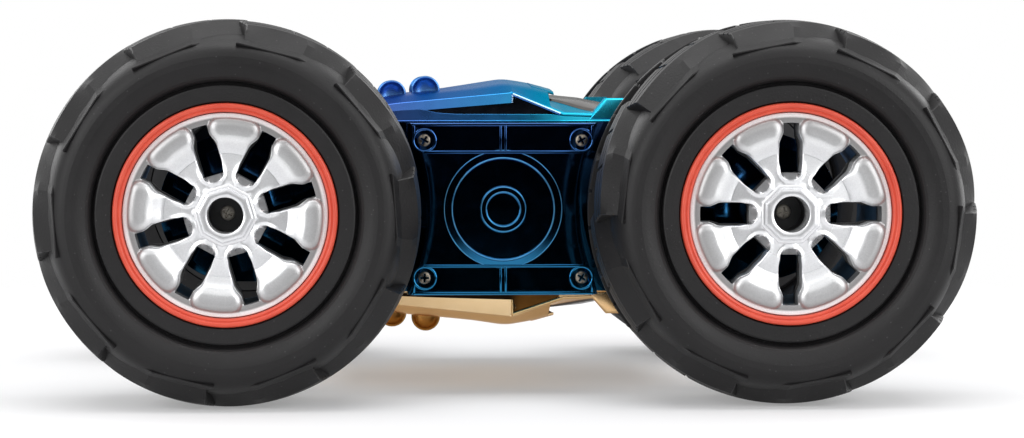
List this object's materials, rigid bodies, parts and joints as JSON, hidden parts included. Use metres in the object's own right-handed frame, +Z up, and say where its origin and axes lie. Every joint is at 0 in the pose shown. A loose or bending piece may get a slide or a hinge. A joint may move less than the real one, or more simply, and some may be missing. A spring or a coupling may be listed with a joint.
{
  "type": "rc stunt car",
  "caption": "Double-sided radio controlled stunt car: large lugged wheels, a geared motor drive on each side, and a chrome-look body shell above and below.",
  "frame": {"origin": "on the ground under the middle of the car", "axes": "+X forward, +Y to the car's left, +Z up"},
  "size_m": [0.2879, 0.222, 0.118],
  "materials": {
    "tyre_rubber": "matt",
    "black_plastic": "matt",
    "silver_face": "satin silver plating",
    "red_ring": "gloss",
    "steel": "ground",
    "dark_steel": "blackened",
    "gear_plastic": "moulded",
    "blue_case": "blue chrome plating",
    "dark_cover": "dark blue chrome plating",
    "motor_steel": "plated can",
    "brass": "turned",
    "battery_wrap": "shrink wrap",
    "board_green": "solder mask",
    "switch_grey": "moulded",
    "blue_shell": "blue to teal chrome plating",
    "gold_shell": "gold chrome plating",
    "window_black": "gloss"
  },
  "bodies": {
    "chassis": {"right_gearbox_case": "blue_case", "right_gearbox_lid": "black_plastic", "right_side_cover": "dark_cover", "right_motor": "motor_steel", "left_gearbox_case": "blue_case", "left_gearbox_lid": "black_plastic", "left_side_cover": "dark_cover", "left_motor": "motor_steel", "axle_bushes": "brass", "gear_pins": "steel", "side_cover_screws": "dark_steel", "centre_frame": "black_plastic", "battery_pack": "battery_wrap", "circuit_board": "board_green", "upper_shell": "blue_shell", "upper_windows": "window_black", "upper_intake_pipes": "blue_shell", "lower_shell": "gold_shell", "lower_windows": "window_black", "lower_intake_pipes": "gold_shell"},
    "front_right_wheel": {"front_right_tyre": "tyre_rubber", "front_right_rim": "black_plastic", "front_right_wheel_face": "silver_face", "front_right_bead_ring": "red_ring", "front_right_axle": "steel", "front_right_wheel_gear": "gear_plastic", "front_right_hub_screw": "dark_steel"},
    "front_left_wheel": {"front_left_tyre": "tyre_rubber", "front_left_rim": "black_plastic", "front_left_wheel_face": "silver_face", "front_left_bead_ring": "red_ring", "front_left_axle": "steel", "front_left_wheel_gear": "gear_plastic", "front_left_hub_screw": "dark_steel"},
    "rear_right_wheel": {"rear_right_tyre": "tyre_rubber", "rear_right_rim": "black_plastic", "rear_right_wheel_face": "silver_face", "rear_right_bead_ring": "red_ring", "rear_right_axle": "steel", "rear_right_wheel_gear": "gear_plastic", "rear_right_hub_screw": "dark_steel"},
    "rear_left_wheel": {"rear_left_tyre": "tyre_rubber", "rear_left_rim": "black_plastic", "rear_left_wheel_face": "silver_face", "rear_left_bead_ring": "red_ring", "rear_left_axle": "steel", "rear_left_wheel_gear": "gear_plastic", "rear_left_hub_screw": "dark_steel"},
    "right_pinion": {"right_motor_pinion": "brass"},
    "left_pinion": {"left_motor_pinion": "brass"},
    "front_right_reduction": {"front_right_reduction_gear": "gear_plastic"},
    "front_right_idler": {"front_right_idler_gear": "gear_plastic"},
    "front_left_reduction": {"front_left_reduction_gear": "gear_plastic"},
    "front_left_idler": {"front_left_idler_gear": "gear_plastic"},
    "rear_right_reduction": {"rear_right_reduction_gear": "gear_plastic"},
    "rear_right_idler": {"rear_right_idler_gear": "gear_plastic"},
    "rear_left_reduction": {"rear_left_reduction_gear": "gear_plastic"},
    "rear_left_idler": {"rear_left_idler_gear": "gear_plastic"},
    "battery_door": {"battery_door": "black_plastic"},
    "power_switch": {"power_switch": "switch_grey"}
  },
  "joints": [
    {"name": "front_right_spin", "type": "hinge", "parent": "chassis", "child": "front_right_wheel", "pos_m": [0.085, -0.081, 0.059], "axis": [0, 1, 0], "continuous": true},
    {"name": "rear_right_spin", "type": "hinge", "parent": "chassis", "child": "rear_right_wheel", "pos_m": [-0.085, -0.081, 0.059], "axis": [0, 1, 0], "continuous": true},
    {"name": "right_pinion_spin", "type": "hinge", "parent": "chassis", "child": "right_pinion", "pos_m": [0, -0.04, 0.059], "axis": [0, 1, 0], "continuous": true},
    {"name": "front_right_reduction_spin", "type": "hinge", "parent": "chassis", "child": "front_right_reduction", "pos_m": [0.02125, -0.04, 0.059], "axis": [0, 1, 0], "continuous": true},
    {"name": "front_right_idler_spin", "type": "hinge", "parent": "chassis", "child": "front_right_idler", "pos_m": [0.04565, -0.043, 0.059], "axis": [0, 1, 0], "continuous": true},
    {"name": "rear_right_reduction_spin", "type": "hinge", "parent": "chassis", "child": "rear_right_reduction", "pos_m": [-0.02125, -0.04, 0.059], "axis": [0, 1, 0], "continuous": true},
    {"name": "rear_right_idler_spin", "type": "hinge", "parent": "chassis", "child": "rear_right_idler", "pos_m": [-0.04565, -0.043, 0.059], "axis": [0, 1, 0], "continuous": true},
    {"name": "front_left_spin", "type": "hinge", "parent": "chassis", "child": "front_left_wheel", "pos_m": [0.085, 0.081, 0.059], "axis": [0, 1, 0], "continuous": true},
    {"name": "rear_left_spin", "type": "hinge", "parent": "chassis", "child": "rear_left_wheel", "pos_m": [-0.085, 0.081, 0.059], "axis": [0, 1, 0], "continuous": true},
    {"name": "left_pinion_spin", "type": "hinge", "parent": "chassis", "child": "left_pinion", "pos_m": [0, 0.04, 0.059], "axis": [0, 1, 0], "continuous": true},
    {"name": "front_left_reduction_spin", "type": "hinge", "parent": "chassis", "child": "front_left_reduction", "pos_m": [0.02125, 0.04, 0.059], "axis": [0, 1, 0], "continuous": true},
    {"name": "front_left_idler_spin", "type": "hinge", "parent": "chassis", "child": "front_left_idler", "pos_m": [0.04565, 0.043, 0.059], "axis": [0, 1, 0], "continuous": true},
    {"name": "rear_left_reduction_spin", "type": "hinge", "parent": "chassis", "child": "rear_left_reduction", "pos_m": [-0.02125, 0.04, 0.059], "axis": [0, 1, 0], "continuous": true},
    {"name": "rear_left_idler_spin", "type": "hinge", "parent": "chassis", "child": "rear_left_idler", "pos_m": [-0.04565, 0.043, 0.059], "axis": [0, 1, 0], "continuous": true},
    {"name": "battery_door_hinge", "type": "hinge", "parent": "chassis", "child": "battery_door", "pos_m": [-0.061, 0, 0.0366], "axis": [0, -1, 0], "range_deg": [0, 100]},
    {"name": "power_switch_slide", "type": "slide", "parent": "chassis", "child": "power_switch", "axis": [0, 1, 0], "range_m": [0, 0.004]}
  ],
  "couplings": [
    {"joint": "rear_right_spin", "follows": "front_right_spin", "ratio": 1},
    {"joint": "right_pinion_spin", "follows": "front_right_spin", "ratio": -16.343},
    {"joint": "front_right_reduction_spin", "follows": "front_right_spin", "ratio": 3.7143},
    {"joint": "front_right_idler_spin", "follows": "front_right_spin", "ratio": -1.0833},
    {"joint": "rear_right_reduction_spin", "follows": "front_right_spin", "ratio": 3.7143},
    {"joint": "rear_right_idler_spin", "follows": "front_right_spin", "ratio": -1.0833},
    {"joint": "rear_left_spin", "follows": "front_left_spin", "ratio": 1},
    {"joint": "left_pinion_spin", "follows": "front_left_spin", "ratio": -16.343},
    {"joint": "front_left_reduction_spin", "follows": "front_left_spin", "ratio": 3.7143},
    {"joint": "front_left_idler_spin", "follows": "front_left_spin", "ratio": -1.0833},
    {"joint": "rear_left_reduction_spin", "follows": "front_left_spin", "ratio": 3.7143},
    {"joint": "rear_left_idler_spin", "follows": "front_left_spin", "ratio": -1.0833}
  ]
}
